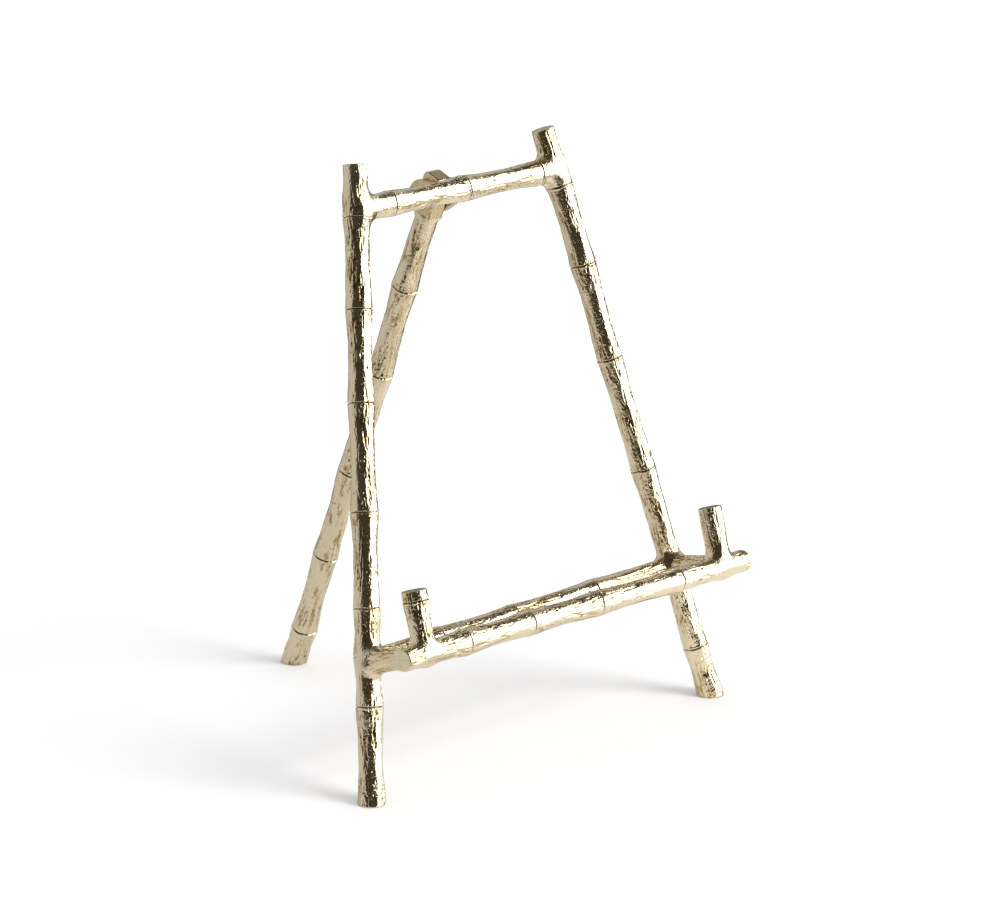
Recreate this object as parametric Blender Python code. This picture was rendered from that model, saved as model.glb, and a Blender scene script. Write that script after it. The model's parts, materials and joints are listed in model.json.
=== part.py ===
"""Tabletop display easel cast in metal as a frame of bamboo-pattern sticks.

A front frame of two splayed legs, two crossbars and a ledge with two pegs leans back on a rear
leg. The rear leg turns on a rivet between two lugs behind the top crossbar: its tongue bears on
the crossbar when the easel stands, and it folds forward until it lies along the frame.

Metres, +Z up. The easel faces -Y and stands on Z = 0, with the origin under the middle of its
bounding box. Every stick is made along its own local +Z and then placed.
"""
import math

import bmesh
import bpy
from mathutils import Matrix, Vector

# Front frame: a plane that leans back about the line through the front feet
FRAME_LEAN = math.radians(13.2)
FRONT_FEET_Y = -0.0799
FOOT_X = 0.1120              # front leg axis at the floor, each side of the middle
LEG_TOP_X = 0.0598           # front leg axis at its top end
LEG_REACH = 0.2876           # height of the leg tops, measured up the frame plane
TOP_BAR_UP = 0.2671          # crossbar axes, measured up the frame plane
LOWER_BAR_UP = 0.0649
LOWER_BAR_SKEW = 0.0017      # the lower crossbar is this much low on the left, high on the right

# Ledge in front of the frame
RAIL_UP = 0.0665
RAIL_FORWARD = 0.0362        # rail axis in front of the frame plane
RAIL_LEFT_X = -0.1113
RAIL_RIGHT_X = 0.1129
PEG_X = 0.0966
PEG_HEIGHT = 0.0295          # peg top above the rail's axis
PEG_LEAN = math.radians(15.2)

# Hinge behind the top crossbar
HINGE_X = -0.0018            # the hinge and the back leg stand a little left of the middle
PIN_UP = 0.2661
PIN_BACK = 0.0155            # pin axis behind the frame plane
PIN_RADIUS = 0.0020
PIN_HEAD_RADIUS = 0.0035
PIN_HEAD_HEIGHT = 0.0014
PIN_GAP = 0.0003             # room round the pin and between the hinge's cheeks
LUG_RADIUS = 0.0085
LUG_THICKNESS = 0.0036
LUG_ROOT = 0.0055            # half the height of a lug where it meets the crossbar
TONGUE_WIDTH = 0.0086
TONGUE_DEPTH = 0.0118        # tongue front to back
TONGUE_RISE = 0.0114         # tongue top above the pin, along the leg
TONGUE_CORNER = 0.0028       # rounding of the tongue's top corners
SHOULDER_DROP = 0.0098       # leg shoulders below the pin, along the leg
BACK_FOOT_Y = FRONT_FEET_Y + 0.1800

# Sticks
LEG_RADIUS = 0.0060          # mean radius; a stick is waisted between its nodes
BAR_RADIUS = 0.0058
ARM_RADIUS = 0.0057
NODE_SWELL = 0.0006          # extra radius at a node
SWELL_REACH = 0.0100         # how far the swelling spreads along the stick
GROOVE_DEPTH = 0.0006        # ring groove round each node
GROOVE_HALF_WIDTH = 0.0007
RIM = 0.0006                 # chamfer of a free end
FILLET = 0.0045              # radius of the web where a stick meets another
STICK_SIDES = 16
PIN_SIDES = 24
DISC_SIDES = 28
DOME_ROWS = 4                # rows of a rivet head
DOME_ANGLE = math.radians(72)
ROW_SPACING = 0.0150         # widest step between two rings of a stick
NODE_ROW = 0.0045            # rows this far each side of a node carry its swelling
WEB_ROWS = (0.0, 0.08, 0.3, 0.6, 1.0)    # rows of a web, as shares of FILLET
GAP = 0.0003                 # clearance between pieces that touch
FLOOR_DEPTH = 0.0100         # legs run this far under the floor before their feet are cut
FLOOR_BLOCK = (0.4, 0.4, 0.04)

# Finishes
CHAMPAGNE, CHAMPAGNE_ROUGHNESS = (0.80, 0.72, 0.56), 0.18
RIVET_METAL, RIVET_ROUGHNESS = (0.74, 0.67, 0.53), 0.25
SHARP_ANGLE = math.radians(40)

# Bamboo nodes: distance of each ring groove from the stick's lower or left end
LEFT_LEG_NODES = (0.044, 0.067, 0.089, 0.133, 0.183, 0.226, 0.268)
RIGHT_LEG_NODES = (0.026, 0.119, 0.176, 0.224, 0.264)
BACK_LEG_NODES = (0.0215, 0.0665, 0.1175, 0.1755, 0.2245)
TOP_BAR_NODES = (0.020, 0.067, 0.1145)
LOWER_BAR_NODES = (0.044, 0.0915, 0.145)
RAIL_NODES = (0.0385, 0.079, 0.1235, 0.1775)
LEFT_PEG_NODES = (0.0245,)

X_AXIS, Y_AXIS = Vector((1, 0, 0)), Vector((0, 1, 0))


def clear_scene():
    for old in list(bpy.data.objects):
        bpy.data.objects.remove(old, do_unlink=True)


def frame_point(across, up, forward=0.0):
    """Point of the leaning frame: `up` its plane and `forward` of it."""
    lean_sin, lean_cos = math.sin(FRAME_LEAN), math.cos(FRAME_LEAN)
    return Vector((across, FRONT_FEET_Y + up * lean_sin - forward * lean_cos,
                   up * lean_cos + forward * lean_sin))


def leg_x(up):
    """Distance of a front leg's axis from the middle at a height up the frame plane."""
    return FOOT_X + (LEG_TOP_X - FOOT_X) * up / LEG_REACH


def plated_metal(name, colour, roughness):
    material = bpy.data.materials.new(name)
    material.use_nodes = True
    shader = material.node_tree.nodes["Principled BSDF"]
    shader.inputs["Base Color"].default_value = (*colour, 1.0)
    shader.inputs["Metallic"].default_value = 1.0
    shader.inputs["Roughness"].default_value = roughness
    material.diffuse_color = (*colour, 1.0)
    return material


def add_object(name, mesh, material=None, group=None):
    """Link a mesh as an object; `group` is the empty that the piece hangs on."""
    piece = bpy.data.objects.new(name, mesh)
    bpy.context.collection.objects.link(piece)
    if material:
        mesh.materials.append(material)
    if group:
        piece.parent = group
        piece.matrix_parent_inverse = Matrix.Translation(group.location).inverted()
    return piece


def finish_mesh(name, bm):
    bmesh.ops.recalc_face_normals(bm, faces=bm.faces)
    mesh = bpy.data.meshes.new(name)
    bm.to_mesh(mesh)
    bm.free()
    mesh.shade_smooth()
    mesh.set_sharp_from_angle(angle=SHARP_ANGLE)
    return mesh


def ring_mesh(name, rows, sides=STICK_SIDES):
    """Closed solid of rings along +Z; a row is (height, half width in X, half width in Y)."""
    bm = bmesh.new()
    rings = []
    for height, half_x, half_y in rows:
        angles = [2 * math.pi * side / sides for side in range(sides)]
        rings.append([bm.verts.new((half_x * math.cos(a), half_y * math.sin(a), height))
                      for a in angles])
    bm.faces.new(rings[0])
    bm.faces.new(rings[-1])
    for lower, upper in zip(rings, rings[1:]):
        for side in range(sides):
            after = (side + 1) % sides
            bm.faces.new((lower[side], lower[after], upper[after], upper[side]))
    return finish_mesh(name, bm)


def place(piece, start, axis, wide):
    """Stand a piece's local +Z along `axis`, with its local +X towards `wide`."""
    z = axis.normalized()
    x = (wide - wide.dot(z) * z).normalized()
    rotation = Matrix((x, z.cross(x), z)).transposed().to_4x4()
    piece.matrix_world = Matrix.Translation(start) @ rotation


def stick_radius(at, radius, nodes):
    """Radius of a bamboo stick: waisted between its nodes, with a groove round each one."""
    nearest = min((abs(at - node) for node in nodes), default=SWELL_REACH)
    swell = math.exp(-(nearest / SWELL_REACH) ** 1.5)
    groove = GROOVE_DEPTH * max(0.0, 1.0 - nearest / GROOVE_HALF_WIDTH)
    return radius - 0.5 * NODE_SWELL + 1.5 * NODE_SWELL * swell - groove


def web(from_surface):
    """Extra half width of a joint's web at a distance from the neighbour's surface."""
    inward = FILLET - min(max(from_surface, 0.0), FILLET)
    return FILLET - math.sqrt(FILLET ** 2 - inward ** 2)


def stick_rows(length, radius, nodes, low_joint, high_joint, crossed, grow):
    """Rings of one stick. A joint is the radius of the stick it runs into, None at a free end.

    Both webs widen the stick in X, but where it is `crossed` the high one widens it in Y.
    """
    low = -grow if low_joint is None else 0.5 * low_joint
    high = length + grow if high_joint is None else length - 0.5 * high_joint
    stops = {low, high}
    for node in nodes:
        for step in (-NODE_ROW, -GROOVE_HALF_WIDTH, 0.0, GROOVE_HALF_WIDTH, NODE_ROW):
            stops.add(node + step)
    for share in WEB_ROWS:
        if low_joint is not None:
            stops.add(low_joint + share * FILLET)
        if high_joint is not None:
            stops.add(length - high_joint - share * FILLET)
    if low_joint is None:
        stops.add(low + RIM)
    if high_joint is None:
        stops.add(high - RIM)
    stops = sorted(stop for stop in stops if low <= stop <= high)
    filled = [stops[0]]
    for stop in stops[1:]:
        steps = math.ceil((stop - filled[-1]) / ROW_SPACING)
        start = filled[-1]
        filled += [start + (stop - start) * step / steps for step in range(1, steps + 1)]
    rows = []
    for at in filled:
        half = stick_radius(at, radius, nodes) + grow
        if at in (low, high) and (low_joint if at == low else high_joint) is None:
            half -= RIM
        low_web = 0.0 if low_joint is None else web(at - low_joint)
        high_web = 0.0 if high_joint is None else web(length - high_joint - at)
        if crossed:
            rows.append((at, half + low_web, half + high_web))
        else:
            rows.append((at, half + max(low_web, high_web), half))
    return rows


def stick(name, ends, radius, nodes=(), wide=Y_AXIS, joints=(None, None), crossed=False,
          grow=0.0, material=None, group=None):
    """Bamboo stick between two points; its joints' webs spread along `wide`."""
    start, end = ends
    rows = stick_rows((end - start).length, radius, nodes, joints[0], joints[1], crossed, grow)
    piece = add_object(name, ring_mesh(name, rows), material, group)
    place(piece, start, end - start, wide)
    return piece


def plate(name, discs, thickness, material=None, group=None):
    """Plate with faces at X = +-thickness/2 round a set of discs (y, z, radius)."""
    bm = bmesh.new()
    for y, z, radius in discs:
        for side in range(DISC_SIDES):
            angle = 2 * math.pi * side / DISC_SIDES
            for x in (-0.5 * thickness, 0.5 * thickness):
                bm.verts.new((x, y + radius * math.cos(angle), z + radius * math.sin(angle)))
    hull = bmesh.ops.convex_hull(bm, input=bm.verts)
    bmesh.ops.delete(bm, geom=hull["geom_interior"], context="VERTS")
    bmesh.ops.dissolve_limit(bm, angle_limit=math.radians(1), verts=bm.verts, edges=bm.edges)
    return add_object(name, finish_mesh(name, bm), material, group)


def as_cutter(piece):
    piece.hide_render = True
    piece.display_type = "WIRE"
    return piece


def combine(piece, other, operation):
    boolean = piece.modifiers.new(other.name, "BOOLEAN")
    boolean.operation = operation
    boolean.solver = "EXACT"
    boolean.object = other


def cope(piece, *cutters):
    """Cut a piece's end to the shape of the sticks that it runs into."""
    for cutter in cutters:
        combine(piece, cutter, "DIFFERENCE")


def floor_cutter():
    """Block under the floor that cuts the three feet level."""
    bm = bmesh.new()
    bmesh.ops.create_cube(bm, size=1.0)
    bmesh.ops.scale(bm, vec=FLOOR_BLOCK, verts=bm.verts)
    bmesh.ops.translate(bm, vec=(0, 0, -0.5 * FLOOR_BLOCK[2]), verts=bm.verts)
    return as_cutter(add_object("floor_cutter", finish_mesh("floor_cutter", bm)))


def leg_ends(side):
    """Axis of a front leg from below the floor to its top; side is -1 left, +1 right."""
    foot, top = frame_point(side * FOOT_X, 0.0), frame_point(side * LEG_TOP_X, LEG_REACH)
    return foot - (top - foot).normalized() * FLOOR_DEPTH, top


def from_floor(nodes):
    """Node distances measured from the buried end of a leg."""
    return tuple(node + FLOOR_DEPTH for node in nodes)


def crossbar_ends(up, skew=0.0):
    return (frame_point(-leg_x(up - skew), up - skew), frame_point(leg_x(up + skew), up + skew))


def arm_ends(side):
    """Axis of a ledge arm, from the front leg forward to the rail."""
    up = LOWER_BAR_UP + side * LOWER_BAR_SKEW
    return (frame_point(side * leg_x(up), up), frame_point(side * PEG_X, RAIL_UP, RAIL_FORWARD))


def peg_ends(side):
    base = frame_point(side * PEG_X, RAIL_UP, RAIL_FORWARD)
    return base, base + PEG_HEIGHT * Vector((0, math.sin(PEG_LEAN), math.cos(PEG_LEAN)))


def build_front_frame(finish, group, floor):
    """Legs, crossbars and ledge; returns the fattened top crossbar that cuts the hinge."""
    up_plane = frame_point(0, 1) - frame_point(0, 0)
    cutters = {}
    for name, side, nodes in (("left", -1, LEFT_LEG_NODES), ("right", 1, RIGHT_LEG_NODES)):
        ends, nodes = leg_ends(side), from_floor(nodes)
        leg = stick(name + "_front_leg", ends, LEG_RADIUS, nodes, X_AXIS, material=finish,
                    group=group)
        cope(leg, floor)
        cutters[name] = as_cutter(stick(name + "_leg_cutter", ends, LEG_RADIUS, nodes, X_AXIS,
                                        grow=GAP))

    runs_into_legs = (LEG_RADIUS, LEG_RADIUS)
    for name, ends, nodes in (("top", crossbar_ends(TOP_BAR_UP), TOP_BAR_NODES),
                              ("lower", crossbar_ends(LOWER_BAR_UP, LOWER_BAR_SKEW),
                               LOWER_BAR_NODES)):
        bar = stick(name + "_crossbar", ends, BAR_RADIUS, nodes, up_plane, runs_into_legs,
                    material=finish, group=group)
        cope(bar, cutters["left"], cutters["right"])
        cutters[name] = as_cutter(stick(name + "_bar_cutter", ends, BAR_RADIUS, nodes, up_plane,
                                        runs_into_legs, grow=GAP))

    rail_ends = (frame_point(RAIL_LEFT_X, RAIL_UP, RAIL_FORWARD),
                 frame_point(RAIL_RIGHT_X, RAIL_UP, RAIL_FORWARD))
    stick("ledge_rail", rail_ends, BAR_RADIUS, RAIL_NODES, up_plane, material=finish, group=group)
    rail_cutter = as_cutter(stick("rail_cutter", rail_ends, BAR_RADIUS, RAIL_NODES, up_plane,
                                  grow=GAP))

    for name, side, nodes in (("left", -1, LEFT_PEG_NODES), ("right", 1, ())):
        ends = arm_ends(side)
        arm = stick(name + "_ledge_arm", ends, ARM_RADIUS, (), up_plane,
                    (LEG_RADIUS, BAR_RADIUS), True, material=finish, group=group)
        cope(arm, cutters[name], cutters["lower"], rail_cutter)
        arm_cutter = as_cutter(stick(name + "_arm_cutter", ends, ARM_RADIUS, (), up_plane,
                                     (LEG_RADIUS, BAR_RADIUS), True, grow=GAP))
        peg = stick(name + "_ledge_peg", peg_ends(side), ARM_RADIUS, nodes, X_AXIS,
                    (BAR_RADIUS, None), material=finish, group=group)
        cope(peg, rail_cutter, arm_cutter)
    return cutters["top"]


def pin_cutter(pin):
    """Bore round the hinge pin, through both lugs and the tongue."""
    reach, radius = LUG_THICKNESS + TONGUE_WIDTH, PIN_RADIUS + PIN_GAP
    bore = add_object("pin_bore", ring_mesh("pin_bore", [(-reach, radius, radius),
                                                         (reach, radius, radius)], PIN_SIDES))
    place(bore, pin, X_AXIS, Y_AXIS)
    return as_cutter(bore)


def build_lugs(pin, bore, crossbar_cutter, finish, group):
    """Two cheeks cast behind the top crossbar, one each side of the tongue."""
    root = frame_point(0, TOP_BAR_UP)
    middle = 0.5 * (TONGUE_WIDTH + LUG_THICKNESS) + PIN_GAP
    discs = [(pin.y, pin.z, LUG_RADIUS), (root.y, root.z, LUG_ROOT)]
    for name, side in (("left", -1), ("right", 1)):
        lug = plate(name + "_hinge_lug", discs, LUG_THICKNESS, finish, group)
        lug.location.x = HINGE_X + side * middle
        cope(lug, crossbar_cutter, bore)
    return middle + 0.5 * LUG_THICKNESS


def build_pin(pin, half_span, rivet_metal, group):
    """Rivet through both lugs, with a domed head on each side."""
    shaft_end = half_span + PIN_GAP
    head = [(shaft_end, PIN_HEAD_RADIUS)]
    for step in range(1, DOME_ROWS + 1):
        angle = step / DOME_ROWS * DOME_ANGLE
        head.append((shaft_end + PIN_HEAD_HEIGHT * math.sin(angle),
                     PIN_HEAD_RADIUS * math.cos(angle)))
    half = [(shaft_end, PIN_RADIUS)] + head
    profile = [(-height, radius) for height, radius in reversed(half)] + half
    rivet = add_object("hinge_pin", ring_mesh("hinge_pin", [(h, r, r) for h, r in profile],
                                            PIN_SIDES),
                       rivet_metal, group)
    place(rivet, pin, X_AXIS, Y_AXIS)


def build_back_leg(pin, bore, crossbar_cutter, floor, finish, group):
    """Rear leg: a stick up to its shoulders, then a flat tongue that holds the pin."""
    foot = Vector((HINGE_X, BACK_FOOT_Y, 0))
    axis = (pin - foot).normalized()
    shoulders = pin - axis * SHOULDER_DROP
    leg = stick("back_leg", (foot - axis * FLOOR_DEPTH, shoulders), LEG_RADIUS,
                from_floor(BACK_LEG_NODES), X_AXIS, material=finish, group=group)
    corner_reach = 0.5 * TONGUE_DEPTH - TONGUE_CORNER
    corners = []
    for along in (TONGUE_RISE - TONGUE_CORNER, -SHOULDER_DROP - 2 * TONGUE_CORNER):
        for across in (-corner_reach, corner_reach):
            corner = pin + along * axis + across * axis.cross(X_AXIS)
            corners.append((corner.y, corner.z, TONGUE_CORNER))
    tongue = as_cutter(plate("tongue", corners, TONGUE_WIDTH))
    tongue.location.x = HINGE_X
    combine(leg, tongue, "UNION")
    cope(leg, floor, crossbar_cutter, bore)


def main():
    clear_scene()
    finish = plated_metal("champagne_plate", CHAMPAGNE, CHAMPAGNE_ROUGHNESS)
    rivet_metal = plated_metal("pin_plate", RIVET_METAL, RIVET_ROUGHNESS)
    front_frame = bpy.data.objects.new("front_frame", None)
    back_hinge = bpy.data.objects.new("back_leg_hinge", None)
    for empty in (front_frame, back_hinge):
        bpy.context.collection.objects.link(empty)
    pin = frame_point(HINGE_X, PIN_UP, -PIN_BACK)
    back_hinge.location = pin
    bpy.context.view_layer.update()

    floor = floor_cutter()
    crossbar_cutter = build_front_frame(finish, front_frame, floor)
    bore = pin_cutter(pin)
    half_span = build_lugs(pin, bore, crossbar_cutter, finish, front_frame)
    build_pin(pin, half_span, rivet_metal, front_frame)
    build_back_leg(pin, bore, crossbar_cutter, floor, finish, back_hinge)


main()
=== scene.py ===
"""Looks of the tabletop display easel: bamboo sticks cast in glossy champagne-gold metal.

The sticks of the front frame share one smooth surface, so that each joint is a cast fillet. That
surface is cut into one closed mesh for each CAD node, and covered with the node rings, dents,
wrinkles and pits of the casting. Metres, in the CAD's frame.
"""
import json
import math

import bmesh
import bpy
import numpy as np
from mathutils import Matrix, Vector


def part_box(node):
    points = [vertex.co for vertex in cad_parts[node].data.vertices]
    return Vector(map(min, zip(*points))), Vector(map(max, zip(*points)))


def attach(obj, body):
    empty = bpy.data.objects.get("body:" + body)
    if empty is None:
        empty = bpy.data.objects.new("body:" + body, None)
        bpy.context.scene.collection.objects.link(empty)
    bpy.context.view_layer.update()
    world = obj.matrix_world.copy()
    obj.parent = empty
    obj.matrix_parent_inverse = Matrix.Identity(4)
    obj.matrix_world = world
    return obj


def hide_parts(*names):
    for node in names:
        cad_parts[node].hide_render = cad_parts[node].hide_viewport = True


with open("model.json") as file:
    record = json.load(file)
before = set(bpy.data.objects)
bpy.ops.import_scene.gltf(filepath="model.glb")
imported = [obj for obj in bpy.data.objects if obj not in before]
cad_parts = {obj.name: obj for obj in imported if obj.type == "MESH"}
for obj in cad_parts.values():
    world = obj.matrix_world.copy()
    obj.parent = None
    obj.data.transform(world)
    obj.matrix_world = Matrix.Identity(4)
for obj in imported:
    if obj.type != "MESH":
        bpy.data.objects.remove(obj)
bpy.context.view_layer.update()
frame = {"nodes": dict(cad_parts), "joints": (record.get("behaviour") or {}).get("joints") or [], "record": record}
MM = 0.001

# Camera
CAMERA_AZIMUTH = math.radians(-43.74)
CAMERA_ELEVATION = math.radians(15.56)
CAMERA_DISTANCE = 2.1
CAMERA_TARGET = Vector((0.0266, -0.0199, 0.1288))
CAMERA_LENS = 157.66          # mm, as is its sensor
CAMERA_SENSOR = 36.0
CAMERA_CLIP = (0.05, 60.0)    # nearest and furthest that it sees

# Sticks
SWELL = 0.95 * MM             # a node's extra radius
SWELL_REACH = 10.0 * MM
SWELL_SHAPE = 1.4             # power of its fall: 1 is a peak and 2 a bell
SWELL_SIZES = (0.7, 1.15)     # smallest and largest node of a stick, as shares of SWELL
WAIST = 0.4 * SWELL           # how much thinner a stick with nodes is between them
SWAY = 0.35 * MM              # furthest that a node is off a leg's or a bar's straight axis
END_SWAY = 0.3                # the same at a stick's ends, as a share
PEG_SWAY = 0.15 * MM
FOOT_SPREAD = 1.0 * MM        # a foot's extra radius
FOOT_LENGTH = 22.0 * MM
FOOT_DEPTH = 20.0 * MM        # a leg runs this far under the floor before its foot is cut
TABLE_MARGIN = 30.0 * MM      # a stick's tables of radius and sway go this far past its ends
TABLE_STEP = 0.5 * MM
RAIL_END_SLANT = (0, -0.20, 0)   # the rail's left end is cut askew, shorter in front
BAR_RELIEF = 0.5              # the bars' lumps and dents beside the legs'
CALM = 4.0 * MM               # distance from a joint over which its smooth fillet turns rough
ARM_CALM = 1.2 * MM

# Casting
JOINT_BLEND = 6.5 * MM        # reach of the fillet between two sticks
NARROW_BLENDS = {             # the same where a piece is joined with less metal
    "lower_crossbar": 5.0 * MM, "ledge_rail": 3.6 * MM, "left_ledge_arm": 3.4 * MM,
    "right_ledge_arm": 4.2 * MM, "left_ledge_peg": 4.4 * MM, "right_ledge_peg": 4.4 * MM,
    "left_hinge_lug": 2.4 * MM, "right_hinge_lug": 2.4 * MM}
RIM_BLEND = 0.55 * MM         # rounding of a cut end
FOOT_RIM = 0.35 * MM          # rounding of a foot's edge
FLARE = 2.4 * MM              # furthest that a piece spreads from its own stick into a joint
SINK = 0.25                   # slope at which a piece dips under its neighbour past the joint
SINK_EASE = 1.0 * MM
ALONE = 1.0                   # metres of room round a piece that has no neighbour near
BEARING_GAP = 0.12 * MM       # between the back leg's tongue and what it bears on

# Hinge
LUG_ROUNDING = 0.9 * MM
LUG_ROOT = 3.6 * MM           # radius of a lug's end inside the crossbar
SHOULDER_DROP = 9.8 * MM      # back leg's shoulders below the pin
SHOULDER_LAP = 3.0 * MM       # the tongue starts this far down inside the round leg
SHOULDER_BLEND = 1.0 * MM
TONGUE_RISE = 11.3 * MM       # tongue top above the pin
TONGUE_CORNER = 3.0 * MM
TONGUE_PLAY = 0.35 * MM       # room beside the tongue, on each side
BORE_RADIUS = 2.2 * MM
PIN_PLAY = 0.15 * MM          # room round the rivet's shaft
PIN_HEAD_FLAT = 0.35          # share of a rivet head that is flat
PIN_HEAD_SEAT = 0.05 * MM     # room between a head and its lug
PIN_HEAD_STEPS = 14
PIN_HEAD_ROW = 0.8            # an extra row under a head, at this share of its radius
PIN_SHAFT_ROW = 0.1 * MM      # and one on the shaft, this far from the head
PIN_SIDES = 64
PIN_SHARP_ANGLE = math.radians(50)

# Mesh
SIDES = 112                   # faces round a stick
STEP = 0.44 * MM              # spacing along a stick
RING_STEP = 0.22 * MM         # the same at a node ring
RING_REACH = 1.8 * MM
RING_EASE = 2.5 * RING_REACH  # where the spacing is back at STEP
FAN_ROWS = 34                 # rows of rays that close each end
END_TURN = 3.2 * MM           # from a stick's end to where the fan of rays starts
FOOT_TURN = 6.0 * MM
CHUNK_ROWS = 24               # rows solved at a time
RAY_REACH = 13.0 * MM
RAY_PACE = 0.8                # share of the distance left that a ray moves in a round
RAY_ROUNDS = 16
NEAREST_RAY = 0.1 * MM
LUG_STEP = 0.30 * MM
LUG_MARGIN = 1.0 * MM
LUG_ROUNDS = 2                # of moving a lug's corners on to its surface
LUG_LEAST_SLOPE = 0.25        # squared slope of the field below which a corner moves less

# Relief: height, width round the stick, length along it, seed of its noise
LUMPS = (0.42 * MM, 6.5 * MM, 12.0 * MM, 0.1)
DENTS = (0.22 * MM, 3.0 * MM, 7.0 * MM, 0.2)
KNOBS = (0.13 * MM, 1.5 * MM, 3.0 * MM, 0.7)
ROUGH_PATCHES = (1.0, 7.0 * MM, 16.0 * MM, 0.3)
CREASES = (1.0, 1.7 * MM, 14.0 * MM, 0.4)
GRAIN = (1.0, 0.85 * MM, 1.5 * MM, 0.5)
PATCH_EDGE = (-0.25, 0.15)    # noise levels between smooth metal and a rough patch
WRINKLE_DEPTH = 0.30 * MM
WRINKLE_WIDTH = 0.11          # of the creases' noise, on each side of its zero
PIT_DEPTH = 0.26 * MM
PIT_EDGE = (0.12, 0.38)       # grain levels between metal and the bottom of a pit
KNOBS_OUTSIDE = 0.3           # knobs and pits outside the rough patches, as shares
PITS_OUTSIDE = 0.4
CAP_EDGE = (0.6, 0.95)        # how squarely a face looks along the stick to be a cut end
CAP_CALM = 0.85               # share of the relief that a cut end loses
JOINT_EDGE = 0.2 * MM         # the relief starts this far from a joint
FLOOR_FADE = 1.2 * MM         # and this far above the floor it is at its full height
CREVICE_DEPTH = 0.5 * MM      # the finish is at its darkest in a crevice this deep

# A node ring: its groove wanders and changes depth on its way round, between two soft lips
RING_WANDER = (0.55 * MM, 6.0 * MM, 40.0 * MM, 0.6)
RING_JITTER = (0.30 * MM, 2.2 * MM, 40.0 * MM, 0.8)
RING_CHANGE = (0.5, 4.0 * MM, 40.0 * MM, 0.9)
RING_DEPTH = 0.64
RING_PROFILE = ((0.0, 0.25, -1.0), (-0.65, 0.40, 0.16), (0.7, 0.5, 0.08))   # mm: place, width, height
RING_CLEAR = 2.5 * MM         # room that a ring needs beside a joint to reach its full depth

JOINT_PAINTED_SHADE = 0.8                 # painted shade: how much darker the plating's colour is painted deep in a joint's fillet
HOLLOW_EDGE = (0.9 * MM, 2.4 * MM)   # depth of fillet where the painted shade starts and is full
HINGE_PAINTED_SHADE = 0.35          # painted shade: how much darker the plating's colour is painted all over the lugs
TONGUE_PAINTED_SHADE_DEPTH = 1.6 * MM       # fillet depth that the tongue counts as, so that its colour gets as much painted shade
LUG_RELIEF = 0.10 * MM
LUG_RELIEF_SIZE = 2.4 * MM
LUG_CREVICE = 0.3 * MM
LUG_FACE_EDGE = (0.7, 0.98)   # shares of a lug's half thickness between its rim and its faces
LUG_CALM = 3.0 * MM
BORE_RIM = (0.3 * MM, 1.2 * MM)      # the relief fades out between these, towards the bore

# Finish. A shader's noise is features per metre, detail and roughness; a bump is strength and depth.
PLATE_COLOURS = ((0.05, (0.20, 0.115, 0.03)), (0.36, (0.52, 0.39, 0.19)),
                 (0.60, (0.82, 0.70, 0.47)), (1.0, (0.88, 0.80, 0.60)))
PLAIN_PLATE = 0.72            # place of flat metal in those colours
RELIEF_SHARE = 0.66           # how far the relief moves it
STAIN = 0.30                  # and how far the clouds do
PLATE_ROUGHNESS = ((0.32, 0.07), (0.70, 0.20))
CLOUDS = (90.0, 3.0, 0.55)
STIPPLE = (1350.0, 2.0, 0.55)
STIPPLE_PATCHES = ((0.35, 0.15), (0.62, 1.0))    # from few clouds to many
SPECKS = (780.0, 1.0, 0.5)
SPECK_LEVELS = ((0.33, 0.0), (0.45, 1.0))
SPECK_SHARE = 0.4
FIBRES = (1.0, 2.0, 0.5)
FIBRE_DENSITY = (2000.0, 2000.0, 330.0)      # per metre, across, across and along a stick
FIBRE_SHARE = 0.8
PLATE_BUMP = (0.7, 0.18 * MM)
PIN_COLOURS = ((0.3, (0.40, 0.32, 0.20)), (0.7, (0.62, 0.54, 0.39)))
PIN_ROUGHNESS = ((0.3, 0.32), (0.7, 0.18))
PIN_DENTS = (700.0, 2.0, 0.5)
PIN_BUMP = (0.4, 0.1 * MM)

# Studio. An azimuth of 0 degrees is the front and 90 the right.
KEY_AZIMUTH = math.radians(22)
KEY_ELEVATION = math.radians(33)
KEY_STRENGTH = 2.1
KEY_SPREAD = math.radians(34)
AMBIENT = 0.80                # daylight from all round, on the floor
FLOOR_HALF = 12.0
FLOOR_LEVEL = 0.92
TABLE_HALF = 0.33             # the part of the floor that the metal mirrors
TABLE_PAINTED_LIGHT_LEVELS = (0.92, 0.60)   # painted light on its key light's side and painted shade on the other
TABLE_SIDES = (0.30, 0.85)    # places of the painted shade and the painted light, as X - Y + 0.5
TABLE_LIFT = 0.02 * MM
WALL_LEVEL = 0.62             # of the walls, as the metal mirrors them
MIRRORED = (                  # azimuths, elevations, soft edge, level
    (-190, 190, 50, 95, 8, 0.30),       # ceiling
    (-100, 12, -60, 95, 7, 0.05),       # dark room in front
    (12, 77, -9, 44, 5, 4.6),           # softbox
    (50, 132, 41, 95, 4, 0.07),         # dark above the softbox
    (77, 168, -32, 8, 5, 0.10),         # dark strip beside it, which draws the outlines
)
TINTS = ((0.04, (1.0, 0.84, 0.66)), (0.45, (1.0, 0.98, 0.96)), (0.90, (0.99, 0.99, 1.0)))


# ---------------------------------------------------------------- noise

RANDOM = np.random.RandomState(11)
SHUFFLE = np.concatenate([RANDOM.permutation(256)] * 2)
GRADIENTS = RANDOM.normal(size=(256, 3))
GRADIENTS /= np.linalg.norm(GRADIENTS, axis=1)[:, None]
SEED_SHIFT = 17.31            # how far one unit of seed moves the noise
FIRST_SEED = 40               # of the sticks' own random draws


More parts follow.
